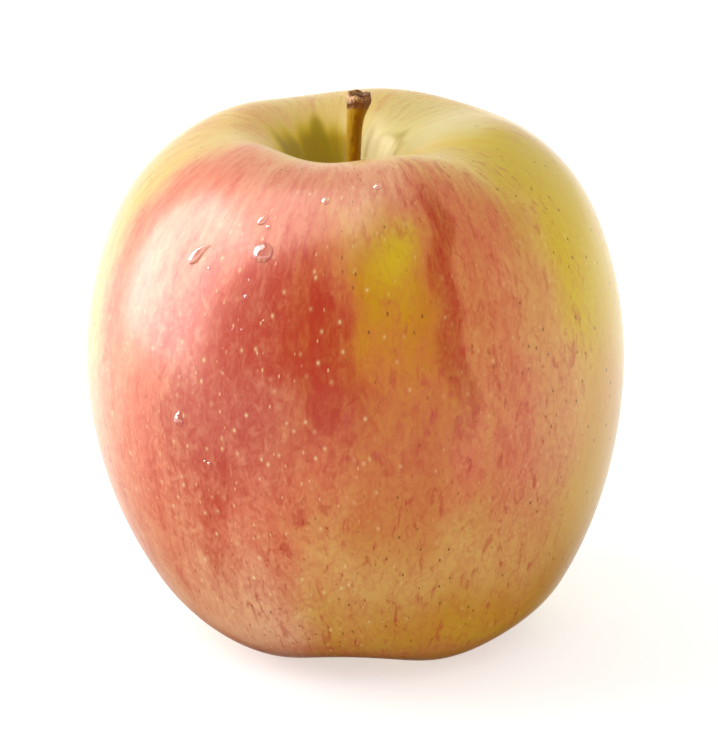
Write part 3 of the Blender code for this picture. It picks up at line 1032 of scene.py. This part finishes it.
def disc_point(share, angle):
    """The fleshy disc that the sepals hang from."""
    ring = np.sin(pi * share)
    radius = CALYX_RADIUS * ring
    z = CALYX_HEIGHT + CALYX_THICKNESS * (0.5 - 0.5 * np.cos(pi * share))
    return np.stack([CALYX_X + radius * np.sin(angle), -radius * np.cos(angle), z], axis=-1)


def stamen_point(number):
    """The form of one withered stamen, which stands down out of the disc."""
    turn = STAMEN_TURN * number
    out = CALYX_RADIUS * (0.25 + 0.35 * (number % 3) / 2)
    length = STAMEN_LENGTH * (0.7 + 0.3 * sin(5.0 * number))

    def place(share, angle):
        closed_end = np.sin(pi * np.minimum(8 * share, 0.5))
        wider_tip = 1 + 1.2 * ease((share - 0.8) / 0.1)
        radius = STAMEN_RADIUS * closed_end * wider_tip * ease((1 - share) / 0.05)
        bent = out * (1 + 0.5 * share**2)
        x = CALYX_X + bent * sin(turn) + radius * np.sin(angle)
        y = -bent * cos(turn) - radius * np.cos(angle)
        return np.stack([x, y, CALYX_HEIGHT + STAMEN_ROOT - length * share], axis=-1)

    return place


def make_drops(parts):
    water = water_material()
    domes = [(*drop, DROP_DIVISIONS) for drop in DROPS]
    for angle, height, width in DROPLETS:
        thickness = DROPLET_THICKNESS * width
        domes.append((angle, height, width, width, thickness, 0.0, 0.0, 0.0, DROPLET_DIVISIONS))
    pieces = []
    for number, (angle, height, width, length, thickness, turn, *form) in enumerate(domes):
        taper, bend, divisions = form
        size = (width, length, thickness)
        place = drop_point(radians(angle), height, *size, radians(turn), taper, bend)
        drop, share, around = formed_sphere(f"drop_{number}", parts, divisions, place, water)
        # The painted dark line of shade is strongest on the lower right of each drop, away from the
        # key light
        shaded = 0.55 + 0.35 * np.cos(around + pi / 4)
        store(drop, "edge", (1 - ease((share - 0.55) / 0.13)) * shaded)
        pieces.append(drop)
    drops = joined("water_drops", pieces)
    # Light passes straight through, so that the skin under the water keeps its colour
    drops.visible_shadow = False
    drops.visible_diffuse = False
    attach(drops, "root")


def make_floor():
    bm = bmesh.new()
    bmesh.ops.create_circle(bm, cap_ends=True, segments=FLOOR_SEGMENTS, radius=FLOOR_RADIUS)
    floor = new_object("studio_floor", bm, bpy.context.scene.collection, floor_material())
    # The paper doesn't light the fruit, so that its underside darkens as the photograph's does
    floor.visible_diffuse = False
    floor.visible_glossy = False


def towards(azimuth, elevation):
    """The direction at degrees round from the front, with +X at 90, and degrees above the floor."""
    a, e = radians(azimuth), radians(elevation)
    return Vector((sin(a) * cos(e), -cos(a) * cos(e), sin(e)))


def add_lamp(name, azimuth, elevation, distance, width, height, watts, diffuse, glossy):
    light = bpy.data.lights.new(name, "AREA")
    light.shape = "RECTANGLE"
    light.size = width
    light.size_y = height
    light.energy = watts
    made = bpy.data.objects.new(name, light)
    direction = towards(azimuth, elevation)
    made.location = LAMP_AIM + distance * direction
    made.rotation_mode = "QUATERNION"
    made.rotation_quaternion = direction.to_track_quat("Z", "Y")
    made.visible_diffuse = diffuse
    made.visible_glossy = glossy
    made.visible_transmission = diffuse
    made.visible_camera = False
    bpy.context.scene.collection.objects.link(made)


def make_lamps():
    for lamp in LAMPS:
        add_lamp(*lamp)


def make_world():
    """A pale studio all round, dimmer on the camera's side so that the skin keeps its colour there.

    Below the horizon a pale table gives more light, but none from straight under the fruit.
    """
    world = bpy.data.worlds.new("studio")
    world.use_nodes = True
    tree = world.node_tree
    background = tree.nodes["Background"]
    direction = tree.nodes.new("ShaderNodeTexCoord").outputs["Generated"]
    split = tree.nodes.new("ShaderNodeSeparateXYZ")
    put(tree, split.inputs[0], direction)
    back = eased(tree, split.outputs["Y"], *WORLD_BACK_RANGE)
    left = eased(tree, split.outputs["X"], *WORLD_LEFT_RANGE)
    right = eased(tree, split.outputs["X"], *WORLD_RIGHT_RANGE)
    below = eased(tree, split.outputs["Z"], *WORLD_TABLE_RANGE)
    under = eased(tree, split.outputs["Z"], *WORLD_UNDER_RANGE)
    glow = summed(tree, (back, WORLD_BACK - WORLD_FRONT), (left, WORLD_LEFT), (right, WORLD_RIGHT))
    sky = calc(tree, "ADD", glow, WORLD_FRONT)
    table = calc(tree, "ADD", calc(tree, "MULTIPLY", left, WORLD_TABLE_LEFT), WORLD_TABLE)
    table = calc(tree, "MULTIPLY", table, calc(tree, "SUBTRACT", 1.0, under))
    lower = calc(tree, "MULTIPLY", table, below)
    upper = calc(tree, "MULTIPLY", sky, calc(tree, "SUBTRACT", 1.0, below))
    seen = tree.nodes.new("ShaderNodeLightPath").outputs["Is Camera Ray"]
    backdrop = calc(tree, "MULTIPLY", seen, BACKDROP)
    level = calc(tree, "MAXIMUM", calc(tree, "ADD", lower, upper), backdrop)
    put(tree, background.inputs["Strength"], level)
    background.inputs["Color"].default_value = WHITE
    bpy.context.scene.world = world


def make_camera():
    data = bpy.data.cameras.new("camera")
    data.lens = CAMERA_LENS_MM
    data.sensor_width = CAMERA_SENSOR_MM
    made = bpy.data.objects.new("camera", data)
    back = Vector((0.0, -cos(CAMERA_ELEVATION), sin(CAMERA_ELEVATION)))
    made.location = CAMERA_AIM + CAMERA_DISTANCE * back
    made.rotation_mode = "QUATERNION"
    made.rotation_quaternion = back.to_track_quat("Z", "Y")
    bpy.context.scene.collection.objects.link(made)
    bpy.context.scene.camera = made


parts = new_collection("apple")
make_skin(parts)
make_stem(parts)
make_calyx(parts)
make_drops(parts)
make_floor()
make_lamps()
make_world()
make_camera()
bpy.context.scene.view_settings.view_transform = "Standard"
